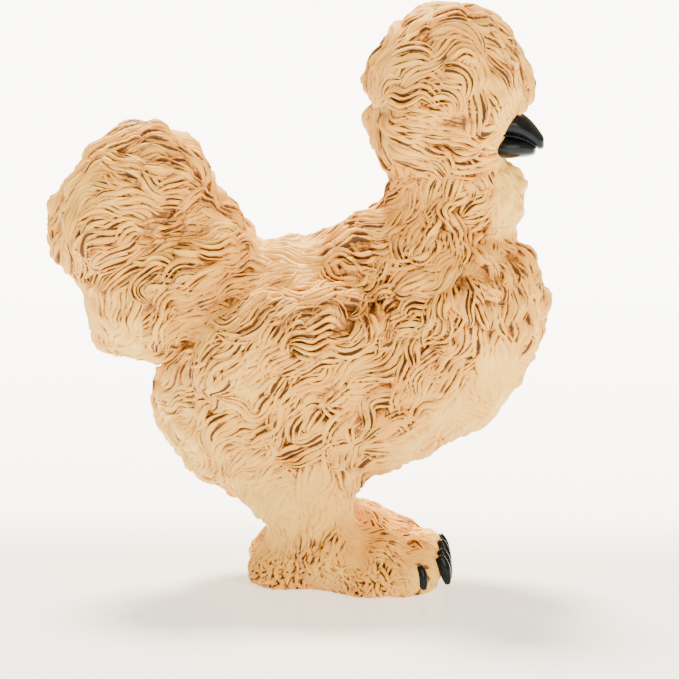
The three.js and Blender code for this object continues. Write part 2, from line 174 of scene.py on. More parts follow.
# Rings of the beak: place along X, lowest and highest Z, width
UPPER_BEAK = [
    (18.6, 44.9, 47.2, 5.3), (20.6, 44.9, 47.8, 5.7), (21.6, 44.85, 48.0, 5.5), (22.4, 44.75, 47.85, 5.0),
    (23.3, 44.45, 47.25, 4.2), (23.9, 44.1, 46.65, 3.4), (24.45, 43.8, 45.95, 2.6),
    (24.85, 43.85, 45.35, 1.8), (25.05, 44.05, 45.0, 1.1),
]
LIPS = [
    (18.6, 45.2, 45.8, 5.5), (21.0, 45.2, 45.9, 5.95), (22.0, 45.1, 45.7, 5.45), (22.9, 44.85, 45.4, 4.7),
    (23.6, 44.45, 45.0, 3.8), (24.1, 44.15, 44.6, 3.0), (24.4, 44.0, 44.4, 2.3),
]
LOWER_BEAK = [
    (18.6, 42.9, 45.4, 5.3), (20.6, 42.9, 45.5, 5.75), (21.5, 42.9, 45.5, 5.5), (22.4, 42.95, 45.4, 4.9),
    (23.2, 43.05, 45.2, 4.1), (23.8, 43.15, 44.9, 3.3), (24.25, 43.4, 44.5, 2.3),
]

# Claws by name: place of the root on the right foot, how far it points outwards, length and radius. The
# left foot's stand a little lower.
CLAWS = {
    "outer": ((12.45, -12.1, 3.2), 42, 2.5, 0.6),
    "middle": ((14.45, -9.5, 3.75), 10, 3.1, 0.66),
    "inner": ((14.55, -6.1, 3.8), -6, 3.3, 0.62),
}
LEFT_LOWER = 1.3
CLAW_DIPS = (50, 82)
CLAW_TAPER = (0.22, 0.68)
CLAW_NARROW = 0.94
CLAW_STEPS = 8
CLAW_FLOOR = 0.05
CLAW_LEAN = (0.45, 0, -0.85)
CLAW_CLEARING = 0.5

# The clefts between the toes: their places across, and how wide, where and how high the wash in them is
TOE_CLEFTS = (10.7, 7.8)
CLEFT_WIDTH = 0.24
CLEFT_STARTS = (11, 12.4)
CLEFT_FADES_UP = (5, 3.6)
CLEFT_WASH = 0.3

# Paints
CREAM_PALE = (0.91, 0.57, 0.135)
CREAM = (0.87, 0.48, 0.088)
PEACH = (0.81, 0.40, 0.068)
ORANGE_BROWN = (0.54, 0.235, 0.052)
BROWN = (0.28, 0.112, 0.023)
DARK_BROWN = (0.10, 0.037, 0.009)
BLACK = (0.0035, 0.004, 0.0065)
WORN_BLACK = (0.009, 0.0105, 0.016)
MATT_FINISH = {"Roughness": 0.62, "Specular IOR Level": 0.3}
GLOSS_FINISH = {"Specular IOR Level": 0.16, "Specular Tint": (0.75, 0.88, 1, 1)}
BODY_STOPS = [(0.0, CREAM_PALE), (0.3, CREAM), (0.85, PEACH)]
GROOVE_STOPS = [(0.0, ORANGE_BROWN), (0.3, ORANGE_BROWN), (0.48, BROWN), (0.8, DARK_BROWN)]
BLACK_STOPS = [(0.3, BLACK), (0.75, WORN_BLACK)]
BLOTCHES = 500
GRAINS = 2800
BRUSH_MARKS = 900
# The plumage paint's spans: a value is moved from between the first two numbers to between the last two
SPANS = {
    "blotch": (0.35, 0.65, 0.0, 1.0),
    "grain": (0.35, 0.65, 0.7, 1.25),
    "film": (0.0, 0.8, 0.0, 0.75),
    "film in dips": (0.0, 0.5, 0.0, 0.45),
    "wash in lines": (0.0, 0.4, 0.14, 1.85),
    "pit": (0.5, 1.0, 0.0, 1.0),
    "wash in pits": (0.0, 0.85, 0.05, 0.5),
    "edge of the wash": (0.18, 0.36, 0.0, 1.0),
}
LINE_FILM = 0.4

# The camera, with a long lens
CAMERA_AZIMUTH = 1.5 * DEG
CAMERA_ELEVATION = 7.5 * DEG
CAMERA_FAR = 500.0
LENS = 260.6
AIM_UP = 30.0
SHIFT_X = 0.0626
SHIFT_Y = -0.0816

# The studio: white paper that glows towards the back, a high sun behind and a soft light in front
FLOOR_SIZE = 6
FLOOR_FINISH = {
    "Base Color": (0.79, 0.87, 0.98, 1), "Roughness": 0.3, "Emission Color": (1, 0.96, 0.88, 1),
}
# How strongly the floor's painted glow shines: faint near the figure, stronger and then strongest behind it,
# and where the glow rises
NEAR_GLOW = 1.2
MIDDLE_GLOW = 4.6
FAR_GLOW = 7.0
GLOW_STARTS = 4
GLOW_MIDDLE = 46
GLOW_ENDS = 230
ROOM_COLOUR = (1, 0.8, 0.46, 1)
ROOM_LIGHT = 0.7
SUN_TURN = (-32 * DEG, -8 * DEG, 0)
SUN_STRENGTH = 15.5
SUN_SOFTNESS = 16 * DEG
SUN_COLOUR = (1, 0.87, 0.62)
FRONT_LIGHT = {"place": (220, -330, 220), "size": 260, "power": 1.9, "colour": (1, 0.82, 0.5)}
FRONT_LIGHT_AIM = (0, 0, 25)


# The form: rounded masses that blend into one another


def mass(at, radii, pitch=0.0, paired=False, blend=BLEND):
    """A rounded mass: its centre, its radii, how far its front is pitched up, whether the left side has one
    too, and how softly it runs into the others."""
    cosine, sine = math.cos(pitch * DEG), math.sin(pitch * DEG)
    axes = np.array([[cosine, 0, sine], [0, 1, 0], [-sine, 0, cosine]])
    at, radii = np.array(at, float), np.array(radii, float)
    return {"at": at, "radii": radii, "axes": axes, "pitch": pitch, "paired": paired, "blend": blend}


def toe(at, radii):
    return mass(at, radii, blend=TOE_BLEND)


MASSES = {
    "belly": mass((TORSO_X, 0, TORSO_Z), (15.6, TORSO_HALF_WIDTH, 9.8), 13.2),
    "breast": mass((BREAST_X, 0, 27.6), (9.9, 10.8, 9)),
    "keel": mass((BREAST_X - 0.4, 0, 20), (7.6, 9, 5.2), 16),
    "rump": mass((TORSO_X - 8.6, 0, TORSO_Z - 1.8), (8.3, 10, 8.6)),
    "back": mass((TORSO_X - 2, 0, 27), (12, 9.6, 7.3), -3),
    "hackle": mass((9, 0, 32.7), (9.4, 7.4, 4.6), 26),
    "neck": mass((CREST_X, 0, 37.4), (5.6, 5.5, 8.2)),
    "beard": mass((CREST_X + 4.3, 0, 38.6), (2.9, 4.4, 4.4), blend=BEARD_BLEND),
    "crest": mass((CREST_X - 0.1, 0, CREST_Z), (CREST_RADIUS - 0.4, CREST_RADIUS + 0.3, CREST_RADIUS - 1.2)),
    "crest_top": mass(
        (CREST_X + 0.6, 0, CREST_Z + 3), (CREST_RADIUS - 3, CREST_RADIUS - 1.5, CREST_RADIUS - 3.3)),
    "crest_back": mass((CREST_X - 3, 0, CREST_Z - 2.4), (3.9, 6.4, 4)),
    "nape": mass((CREST_X - 2.7, 0, CREST_Z - 4.6), (4.1, 6, 3.5)),
    "cheek": mass((CREST_X + 0.9, 0, CREST_Z - 5), (4, 5.2, 4)),
    "tail_crown": mass((TAIL_X - 0.8, 0, 39.8), (6.4, TAIL_HALF_WIDTH - 0.6, 5.9)),
    "tail_shoulder": mass((TAIL_X - 2.6, 0, 38), (3.6, TAIL_HALF_WIDTH - 1.6, 3.2)),
    "tail_back": mass((TAIL_X - 4.4, 0, 35.7), (4.95, TAIL_HALF_WIDTH, 5.8)),
    "tail_fluff": mass((TAIL_X, 0, 28.8), (6.2, TAIL_HALF_WIDTH + 0.6, 6.2)),
    "tail_root": mass((TAIL_X + 5.0, 0, 31.4), (5.5, 7.8, 6.9)),
    "wing": mass((-1.2, TORSO_HALF_WIDTH - 2.2, 24.8), (8.8, 3.6, 5), 16, True),
    "thigh": mass((LEG_X - 1.6, LEG_SPREAD, 11.4), (5.6, 4.6, 4.6), 0, True),
    "shank": mass((LEG_X + 0.3, LEG_SPREAD, 7.4), (4, 3.9, 6), 0, True),
    "heel": mass((LEG_X - 2.1, LEG_SPREAD - 1, 1.6), (3.5, 3.6, 3), 0, True),
    "instep": mass((LEG_X + 4, LEG_SPREAD + 1.4, 2.8), (5.4, 4.3, 3.3), -14, True),
    "toes": mass((LEG_X + 7.3, TOE_SPREAD, 2.1), (4.7, 4.3, 2.9), -16, True),
    "right_outer_toe": toe((11.1, -12.1, 1.9), (2, 1.4, 1.9)),
    "right_middle_toe": toe((12.7, -9.3, 2.1), (2.2, 1.35, 2.1)),
    "right_inner_toe": toe((12.8, -6.3, 2.1), (2.2, 1.3, 2)),
    "left_outer_toe": toe((11.1, 12.1, 1.6), (2, 1.4, 1.6)),
    "left_middle_toe": toe((12.7, 9.3, 1.6), (2.1, 1.35, 1.6)),
    "left_inner_toe": toe((12.8, 6.3, 1.6), (2.1, 1.3, 1.6)),
}


def form(points):
    """The distance of points from the figure's smooth form, negative inside, and the way straight out of
    it."""
    distance = np.full(len(points), FAR_OFF)
    outward = np.zeros((len(points), 3))
    side = np.where(points[:, 1] < 0, -1.0, 1.0)
    for ball in MASSES.values():
        local = points - ball["at"] * (1, 0, 1)
        local[:, 1] = (points[:, 1] * side if ball["paired"] else points[:, 1]) - ball["at"][1]
        scaled = local @ ball["axes"].T / ball["radii"]
        far = np.linalg.norm(scaled, axis=1) + TINY
        steep = scaled / ball["radii"]
        slope = np.linalg.norm(steep, axis=1) + TINY
        near = far * (far - 1) / slope
        direction = (steep / slope[:, None]) @ ball["axes"]
        if ball["paired"]:
            direction[:, 1] *= side
        blend = ball["blend"]
        share = np.clip(0.5 + 0.5 * (distance - near) / blend, 0, 1)[:, None]
        overlap = np.clip(blend - np.abs(distance - near), 0, None) / blend
        distance = np.minimum(distance, near) - overlap**2 * blend / 4
        outward = outward * (1 - share) + direction * share
    return distance, outward / np.linalg.norm(outward, axis=1, keepdims=True)


def onto_form(points, rounds=3):
    """The points moved straight onto the form, and the way out of it there."""
    for _ in range(rounds):
        distance, outward = form(points)
        points = points - outward * distance[:, None]
    return points, outward


def ripple(points, name):
    """A smooth noise from -1 to 1 at points."""
    seed, size = RIPPLES[name]
    rng = np.random.default_rng(seed)
    waves = rng.normal(size=(RIPPLE_WAVES, 3))
    spread = rng.uniform(*RIPPLE_SPREAD, (RIPPLE_WAVES, 1))
    waves *= 2 * math.pi / size * spread / np.linalg.norm(waves, axis=1, keepdims=True)
    phases = rng.uniform(0, 2 * math.pi, RIPPLE_WAVES)
    return np.clip(np.sin(points @ waves.T + phases).sum(1) / RIPPLE_CALM, -1, 1)


def eased(value, low, high):
    """From 0 at low to 1 at high, smoothly."""
    share = np.clip((value - low) / (high - low), 0, 1)
    return share * share * (3 - 2 * share)


# How the plumage lies: guides in the side view as x, z, and the way that strands run there from root to
# tip, in degrees up from straight ahead
LIE = {
    "crest": [
        (14, 59, 0), (20, 57, -35), (23.3, 53, -72), (23, 49, -100), (14.2, 55.5, 45), (17, 57.3, 0),
        (19.6, 56.1, -42), (15.1, 53.9, 32), (15.8, 52, -5), (16.7, 51.3, -40), (11.9, 50.2, 38),
        (13.5, 50.7, 0), (15, 50.1, -35), (16.3, 48.7, -48), (17.6, 47.3, -42), (20.5, 52.3, -14),
        (21, 49.5, -20), (10.5, 46.9, -20), (13.5, 45.6, -10), (16.7, 45.5, 5), (19, 46.4, 20),
        (13.5, 44.7, -12), (16.3, 44.3, 0), (19, 45.3, 25), (20.3, 54.9, -38), (22.4, 53.6, -48),
        (10, 56, 48), (10, 54.1, 36), (10.5, 52.4, 55), (7.8, 50.4, 84), (9.3, 47.3, -62),
        (10.9, 45.7, -35), (11.5, 58, 25), (7.6, 53.5, 70),
    ],
    "neck": [
        (10.5, 42.8, -75), (13.5, 41, -80), (13.9, 39, -115), (8.5, 39.5, 214), (4, 38, 205),
        (11, 37.5, 214), (16, 40, -108), (17.8, 37.5, -120), (20.6, 40, -90), (21.5, 36.5, -92),
    ],
    "torso": [
        (14.5, 33.5, 228), (10.5, 30.5, 206), (5.4, 33.6, 190), (0.3, 30.5, 196), (5.4, 26.5, 208),
        (10.5, 24.4, 214), (21.7, 32.5, -78), (24.7, 29.5, -94), (18.6, 29.5, -98), (17.6, 34.6, -70),
        (18.6, 22.4, -112), (8.4, 16.3, 205), (0.3, 14.2, 214), (-6.8, 15.2, 212), (3.4, 11.2, -100),
        (-10.9, 19.3, 192), (-6, 31, 172), (-10.9, 24, 225), (-12, 15, 235),
    ],
    "wing": [
        (3, 29.5, 190), (-2.8, 28.5, 184), (-7.8, 27.5, 216), (-9.4, 24.4, 262), (-3.8, 25, 196),
        (0.3, 23.4, 205), (-5, 21.4, 230), (4, 25, 200),
    ],
    "tail": [
        (-7.3, 39.7, 124), (-10.9, 45.8, 150), (-17, 46.8, 184), (-21, 44.8, 206), (-15, 42.2, 168),
        (-18, 39.7, 188), (-12, 38.1, 158), (-24, 40.7, 204), (-25.1, 36.6, 252), (-23.1, 30.5, 258),
        (-17, 33.6, 196), (-14, 29.5, 212), (-19, 27.5, 236), (-9.9, 33.6, 168), (-8, 29.5, 190),
    ],
    "leg": [
        (2.3, 7.1, -90), (-3, 7, -98), (6, 8, -60), (0.3, 1.5, -95), (7.4, 3, -66), (12.5, 4, -42),
        (-4, 2, -110),
    ],
}
LIE["beard"] = LIE["neck"]
LIE["foot"] = LIE["curls"] = LIE["leg"]

# How much brown wash stayed in the grooves: guides listed in the side view as x, z and a share
WASH = {
    "crest": [
        (14.5, 57, 0.55), (20.7, 53.9, 0.6), (17.6, 47.8, 0.65), (13.5, 49.8, 0.55), (9.5, 53.9, 0.6),
        (7.9, 48.8, 0.6), (10.5, 44.8, 0.85), (15.6, 44.3, 0.8), (20.7, 46.8, 0.4), (22.7, 50.9, 0.6),
    ],
    "nape and throat": [(10.5, 41.7, 1), (14.5, 40.7, 0.95), (18.2, 41, 0.4)],
    "beard": [(21.7, 39.7, 0.03), (21, 36.6, 0.06)],
    "hackle": [(7.4, 38.1, 0.5), (17.6, 35.6, 0.9), (13.5, 35.6, 0.85), (10.5, 33.6, 0.8), (5.4, 35.6, 0.6)],
    "saddle": [(0.3, 33.6, 0.15), (-2.7, 34.6, 0.1)],
    "breast": [
        (21.7, 32.6, 0.85), (24.2, 29.5, 0.8), (24.7, 26.4, 0.35), (19.6, 28.5, 0.9), (15.6, 29.5, 0.95),
    ],
    "keel": [(20.7, 22.4, 0.1), (22.7, 19.3, 0.05), (15.6, 17.3, 0.1), (16.6, 23.4, 0.5)],
    "flank": [
        (10.5, 29.5, 0.95), (5.4, 29.5, 0.85), (10.5, 24.4, 0.9), (5.4, 25.4, 0.9), (0.3, 25.4, 0.8),
        (3.4, 21.4, 0.6), (8.4, 19.3, 0.6),
    ],
    "wing": [(-4.8, 27.5, 0.55), (-7.8, 24.5, 0.4), (-4.5, 20, 0.35)],
    "rump": [(-10.9, 29.5, 0.8), (-11.9, 26.4, 0.6), (-8.9, 19.3, 0.55), (-10.9, 15.3, 0.2)],
    "belly": [
        (-4.8, 15.3, 0.4), (0.3, 14.2, 0.5), (5.4, 15.3, 0.4), (10.5, 14.3, 0.1), (2.3, 11.2, 0.15),
        (-2.7, 10.2, 0.1),
    ],
    "tail's top": [
        (-15, 46.3, 0.75), (-18, 44.8, 0.8), (-21.1, 42.7, 0.85), (-10.9, 43.7, 0.65), (-7.3, 39.7, 0.8),
        (-16, 40.7, 0.6), (-12.9, 38.7, 0.7), (-24.1, 39.7, 0.6),
    ],
    "tail's fluff": [
        (-24.1, 35.6, 0.4), (-21.1, 32.6, 0.35), (-17, 35.6, 0.7), (-13.9, 34.6, 0.8), (-19, 28.5, 0.2),
        (-16, 25.4, 0.2), (-22.1, 29.5, 0.08), (-9.9, 32.6, 0.7), (-7.8, 34.6, 0.35),
    ],
    "shank and toes": [(2.3, 7.1, 0.05), (6, 6.4, 0.25), (8.5, 6.2, 0.7), (10.5, 4.9, 0.6), (13, 2.4, 0.08)],
    "foot": [
        (-3.2, 1.5, 0.9), (0.3, 1.2, 0.85), (5.4, 1.2, 0.8), (9.5, 1, 0.7), (-3.8, 4.1, 0.45),
        (4, 3.4, 0.5), (8.5, 3.2, 0.6),
    ],
}
WASH_GUIDES = np.array([guide for guides in WASH.values() for guide in guides])
WASH_UNEVEN = 0.5

# The locks of each region: shortest and longest, narrowest and widest, how high they stand over the form,
# how deep their grooves are, how far the lie wanders, how far they swing from side to side, curl at the tip
# and stray from the lie, all four in degrees, how lumpy the plumage is, how broken its lines are, how wide
# a strand is, and in how many steps each lock is made
STYLE_KEYS = (
    "length", "width", "height", "groove", "wave", "swing", "curl", "stray", "lump", "broken", "pitch",
    "steps",
)
STYLES = {
    "crest": ((3.2, 7.8), (1.4, 3.4), 0.85, 0.44, 26, 20, 38, 10, 0.20, 1.0, 0.66, 13),
    "neck": ((3.0, 6.4), (1.4, 3.0), 0.75, 0.42, 28, 22, 35, 12, 0.20, 1.0, 0.64, 12),
    "beard": ((1.9, 3.8), (1.2, 2.2), 0.80, 0.14, 26, 22, 45, 22, 0.34, 1.0, 1.00, 9),
    "torso": ((3.0, 6.8), (1.4, 3.2), 0.90, 0.46, 34, 26, 45, 16, 0.20, 1.0, 0.66, 12),
    "wing": ((3.0, 6.8), (1.4, 3.2), 0.85, 0.44, 34, 24, 45, 14, 0.20, 1.0, 0.66, 12),
    "tail": ((4.0, 9.0), (1.5, 3.8), 0.95, 0.45, 26, 18, 40, 9, 0.25, 1.0, 0.68, 14),
    "leg": ((3.0, 5.2), (1.6, 3.0), 0.34, 0.12, 16, 8, 20, 8, 0.15, 1.0, 1.05, 8),
    "foot": ((2.0, 4.0), (1.0, 2.2), 0.32, 0.24, 24, 14, 25, 12, 0.15, 0.8, 0.66, 9),
    "curls": ((0.8, 1.7), (0.4, 0.85), 0.40, 0.21, 40, 30, 80, 35, 0.00, 0.4, 0.60, 5),
}
STYLES = {region: dict(zip(STYLE_KEYS, values)) for region, values in STYLES.items()}


def beyond(plane, points):
    """How far points lie above a plane."""
    x, z, tilt = plane
    return (points[:, 2] - z) * math.cos(tilt * DEG) - (points[:, 0] - x) * math.sin(tilt * DEG)


def regions_of(points):
    """The region of plumage that each point of the surface belongs to, with uneven borders."""
    x, y, z = points.T
    stray = ripple(points, "border")
    wing_x = (x - WING["at"][0]) / WING["radii"][0]
    wing_z = (z - WING["at"][1]) / WING["radii"][1]
    over_wing = np.hypot(wing_x, wing_z) < WING["edge"] + WING["stray"] * stray
    over_wing &= np.abs(y) > WING["from_y"]
    over_neck = beyond(NECK_BASE, points) > NARROW_STRAY * stray
    borders = {
        "crest": z > HEAD_BASE + NARROW_STRAY * stray,
        "tail": beyond(TAIL_BASE, points) > stray,
        "beard": over_neck & (x > BEARD_FROM + WIDE_STRAY * stray),
        "neck": over_neck,
        "curls": (z < CURLS_TOP + WIDE_STRAY * stray) & (x < CURLS_TO),
        "foot": beyond(FOOT_TOP, points) < stray,
        "leg": z < LEG_TOP + stray,
        "wing": over_wing,
    }
    return np.select(list(borders.values()), list(borders), "torso")


def nearness(points, places):
    """The weights that guides have at points, by how near they are in the side view."""
    dx = points[:, None, 0] - places[None, :, 0]
    dz = points[:, None, 2] - places[None, :, 1]
    weights = (GUIDE_SOFTNESS + dx**2 + dz**2) ** -2.0
    return weights / weights.sum(1, keepdims=True)


def off_beak(points):
    """From 0 at the beak to 1 well away from it."""
    return 1 - np.exp(-((points - BEAK_MIDDLE) ** 2).sum(-1) / BEAK_CLEARING**2)


def wash_at(points):
    """How strongly the wash has stayed in the grooves at points of the surface, from 0 to 1."""
    share = nearness(points, WASH_GUIDES) @ WASH_GUIDES[:, 2]
    return np.clip(share * off_beak(points) * (1 + WASH_UNEVEN * ripple(points, "wash")), 0, 1)


def lie_at(points, outward, region, turn):
    """The way in which the plumage lies along the surface at points, turned by some radians."""
    guides = np.array(LIE[region], float)
    headings = guides[:, 2] * DEG
    ways = np.stack([np.cos(headings), np.zeros(len(guides)), np.sin(headings)], 1)
    lie = nearness(points, guides) @ ways - (0, 0, DROOP)
    lie -= outward * (lie * outward).sum(1, keepdims=True)
    lie /= np.linalg.norm(lie, axis=1, keepdims=True) + TINY
    turn = turn + STYLES[region]["wave"] * DEG * ripple(points, "lie")
    turn = turn[:, None]
    return lie * np.cos(turn) + np.cross(outward, lie) * np.sin(turn)


# The skin: the whole figure in one closed surface, just inside the form


def clean_slate():
    """Nothing selected, and nothing being edited."""
    if bpy.context.object and bpy.context.object.mode != "OBJECT":
        bpy.ops.object.mode_set(mode="OBJECT")
    bpy.ops.object.select_all(action="DESELECT")


def corners_of(piece):
    """A piece's vertices in millimetres."""
    found = np.empty(len(piece.data.vertices) * 3)
    piece.data.vertices.foreach_get("co", found)
    return found.reshape(-1, 3) / MM


def set_corners(piece, points):
    piece.data.vertices.foreach_set("co", (points * MM).ravel())
    piece.data.update()


def apply_modifier(piece, kind, **settings):
    modifier = piece.modifiers.new(kind.title(), kind)
    for name, value in settings.items():
        setattr(modifier, name, value)
    bpy.context.view_layer.objects.active = piece
    bpy.ops.object.modifier_apply(modifier=modifier.name)


def joined(name, pieces):
    """Several pieces as one."""
    clean_slate()
    for piece in pieces:
        piece.select_set(True)
    bpy.context.view_layer.objects.active = pieces[0]
    bpy.ops.object.join()
    pieces[0].name = pieces[0].data.name = name
    return pieces[0]


def made_skin():
    """Balls at the masses, remeshed into one surface, laid onto the form and flattened at the floor."""
    clean_slate()
    balls = []
    for ball in MASSES.values():
        for side in ((-1, 1) if ball["paired"] else (1,)):
            bpy.ops.mesh.primitive_uv_sphere_add(
                segments=48, ring_count=24, location=Vector(ball["at"] * (1, side, 1)) * MM,
                scale=ball["radii"] * MM, rotation=(0, -ball["pitch"] * DEG, 0))
            balls.append(bpy.context.object)
    skin = joined("skin", balls)
    bpy.ops.object.transform_apply(location=True, rotation=True, scale=True)
    apply_modifier(skin, "REMESH", mode="VOXEL", voxel_size=SKIN_VOXEL * MM)
    for _ in range(2):
        points, outward = onto_form(corners_of(skin))
        set_corners(skin, points - outward * SKIN_DEPTH)
        apply_modifier(skin, "SMOOTH", factor=0.5, iterations=2)
    points = corners_of(skin)
    points[:, 2] = np.maximum(points[:, 2], SOLE_HEIGHT)
    set_corners(skin, points)
    bpy.ops.object.shade_smooth()
    return skin


# The coat: locks of strands, each a closed, tapered, wavy form that lies along the figure


def scattered(skin, rng):
    """Random places on the skin, more of them near the feet: points, ways out and regions."""
    mesh = skin.data
    mesh.calc_loop_triangles()
    triangles = np.empty(len(mesh.loop_triangles) * 3, int)
    mesh.loop_triangles.foreach_get("vertices", triangles)
    corners = corners_of(skin)[triangles.reshape(-1, 3)]
    areas = np.linalg.norm(np.cross(corners[:, 1] - corners[:, 0], corners[:, 2] - corners[:, 0]), axis=1)
    highest = corners[:, :, 2].max(1)
    on_feet = highest < CURLS_TOP + WIDE_STRAY
    areas *= np.where(highest < SOLE_EDGE, 0, np.where(on_feet, FEET_CROWDING, 1))
    drawn = rng.choice(len(areas), DRAWS, p=areas / areas.sum())
    shares = rng.dirichlet((1, 1, 1), len(drawn))
    points, outward = onto_form((corners[drawn] * shares[:, :, None]).sum(1))
    return points, outward, regions_of(points)


def spaced(region, points, outward, rng):
    """Middles of a region's locks, none inside another's middle, with their lengths and widths."""
    style = STYLES[region]
    lie = lie_at(points, outward, region, 0)
    size = rng.uniform(0, 1, len(points)) ** SMALL_LOCKS
    length = np.interp(size + rng.uniform(-LENGTH_STRAY, LENGTH_STRAY, len(size)), (0, 1), style["length"])
    width = np.interp(size, (0, 1), style["width"])
    kept = []
    for i in range(len(size)):
        offset = points[i] - points[kept]
        along = (offset * lie[kept]).sum(1)
        across = np.linalg.norm(offset - lie[kept] * along[:, None], axis=1)
        apart = np.hypot(along / (length[kept] * SET_ALONG), across / (width[kept] * SET_ACROSS))
        if not (apart < 1).any():
            kept.append(i)
    return points[kept], length[kept], width[kept]


def traced(region, at, length, rng):
    """Middle lines of locks: along the lie, waving, and curling at the tip."""
    style = STYLES[region]
    count = len(at)
    steps = style["steps"]
    stray = rng.normal(0, style["stray"] * DEG, count)
    phase = rng.uniform(0, 2 * math.pi, count)
    swing = style["swing"] * DEG * rng.uniform(*SWING_SPREAD, count)
    waves = 2 * math.pi * length / SWING_LENGTH
    curl = rng.normal(0, style["curl"] * DEG, count)
    point, outward = onto_form(at)
    step = (length / steps)[:, None]
    for _ in range(steps // 2):
        point, outward = onto_form(point - lie_at(point, outward, region, stray) * step, 2)
    line, normals, runs = [], [], []
    for i in range(steps + 1):
        along = i / steps
        turn = stray + swing * np.sin(phase + waves * along) + curl * along**2
        run = lie_at(point, outward, region, turn)
        line.append(point)
        normals.append(outward)
        runs.append(run)
        point, outward = onto_form(point + run * step, 2)
    return (np.stack(part, 1) for part in (line, normals, runs))


def columns_of(strands):
    """The columns across a lock: place from -1 to 1, share of the groove's depth and share of the
    height."""
    places, depths, heights = [-1.0, -LOCK_EDGE], [0.0, 0.0], [0.0, EDGE_HEIGHT]
    for strand in range(strands):
        for share, depth in STRAND[strand == 0:]:
            places.append(-STRANDS_EDGE + 2 * STRANDS_EDGE * (strand + share) / strands)
            depths.append(depth)
            heights.append(1.0)
    columns = (places + [LOCK_EDGE, 1.0], depths + [0.0, 0.0], heights + [EDGE_HEIGHT, 0.0])
    return (np.array(column) for column in columns)


def unequal(places, strands, count, rng):
    """The columns' places across so many locks, when their strands are unequally wide."""
    borders = np.cumsum(rng.uniform(*STRAND_WIDTHS, (count, strands)), 1)
    borders = np.concatenate([np.zeros((count, 1)), borders / borders[:, -1:]], 1)
    borders = borders * 2 * STRANDS_EDGE - STRANDS_EDGE
    along = np.clip((places + STRANDS_EDGE) / (2 * STRANDS_EDGE) * strands, 0, strands)
    strand = np.minimum(along.astype(int), strands - 1)
    moved = borders[:, strand] + (along - strand) * (borders[:, strand + 1] - borders[:, strand])
    return np.where(np.abs(places) > STRANDS_EDGE, places, moved)


def fullness(along, taper):
    """How full a form that is drawn out to a tip is along its length."""
    start, span = taper
    return np.sin(math.pi * (start + span * along)) ** TAPER_POWER


def laid_out(region, at, length, width, strands, rng):
    """Where the corners of locks with so many strands stand on the form, ring by ring: their feet, the ways
    out there and their places across the lock. Each groove wanders a little."""
    count = len(at)
    line, normals, runs = traced(region, at, length, rng)
    places, _, _ = columns_of(strands)
    along = np.linspace(0, 1, STYLES[region]["steps"] + 1)
    full = fullness(along, LOCK_TAPER)
    full[-1] *= TIP_FULLNESS
    half = width[:, None] / 2 * full
    across = np.cross(normals, runs)
    phases = rng.uniform(0, 2 * math.pi, (count, 1, 1, len(GROOVE_WAVES)))
    wander = sum(np.sin(phases[..., i] + lengthways * along[:, None] + sideways * places)
                 for i, (lengthways, sideways) in enumerate(GROOVE_WAVES))
    wander = GROOVE_WANDER / strands * wander * (np.abs(places) < STRANDS_EDGE)
    placed = unequal(places, strands, count, rng)[:, None] + wander
    feet = line[:, :, None] + across[:, :, None] * (half[:, :, None] * placed)[..., None]
    shape = feet.shape
    feet, outward = onto_form(feet.reshape(-1, 3), 2)
    return feet.reshape(shape), outward.reshape(shape), placed


def raised(region, feet, placed, strands, rng):
    """How high the corners of locks stand over the form, and how deep in an incised line they lie: a line
    fades and deepens along the lock, and deepens where the wash is strong."""
    style = STYLES[region]
    shape = feet.shape[:3]
    each = (shape[0], 1, 1)
    feet = feet.reshape(-1, 3)
    places, depth, side = columns_of(strands)
    along = np.linspace(0, 1, style["steps"] + 1)
    strength = wash_at(feet).reshape(shape) ** 0.5
    clear = off_beak(feet).reshape(shape)
    lift = (eased(along, *RISES) * (1 - TIP_DROP * eased(along, *FALLS)))[:, None] * clear
    swell = SWELL * ripple(feet, "swell") + style["lump"] * ripple(feet, "lump")
    crown = style["height"] * rng.uniform(*CROWN_SPREAD, each) * (0.5 + 0.5 * strength)
    crown = (crown + swell.reshape(shape)) * lift * (1 - CROWN_ROUND * placed**2)
    tall = 1 + UNEQUAL * np.sin(rng.uniform(0, ANY_PHASE, each) + places * strands * UNEQUAL_WAVES)
    fade = np.sin(rng.uniform(0, ANY_PHASE, each) + FADE_WAVES[0] * along[:, None] + FADE_WAVES[1] * places)
    fade = LINES_KEPT + LINES_FADE[0] * fade + LINES_FADE[1] * ripple(feet, "fade").reshape(shape)
    fade = 1 - style["broken"] * (1 - np.clip(fade, 0, 1))
    ends = eased(along, *LINES_START) * (1 - LINES_LEFT_AT_END * eased(along, *LINES_END))
    incised = depth * fade * ends[:, None] * (LINE_DEPTHS[0] + LINE_DEPTHS[1] * strength) * clear
    heights = crown * tall * side - style["groove"] * incised - LOCK_SINK * (1 - side)
    heights[:, 0] -= style["height"] * ROOT_SINK
    return heights, np.maximum(incised, 0) * min(style["groove"] / DEEP_GROOVE, 1)


def claw_root(place, side):
    """The root of a claw: side is -1 on the right foot and 1 on the left."""
    return np.array((place[0], -side * place[1], place[2] - (LEFT_LOWER if side > 0 else 0)))


def crossing(feet):
    """Whether locks cross the beak or a claw."""
    x, y, z = np.moveaxis(feet, -1, 0)
    crosses = (x > BEAK_BOX["from_x"]) & (np.abs(y) < BEAK_BOX["half_width"])
    crosses &= (z > BEAK_BOX["low"]) & (z < BEAK_BOX["high"])
    for place, _, length, radius in CLAWS.values():
        for side in (-1, 1):
            middle = claw_root(place, side) + np.array(CLAW_LEAN) * length * 0.5
            crosses |= np.linalg.norm(feet - middle, axis=-1) < radius + CLAW_CLEARING
    return crosses.any((1, 2))


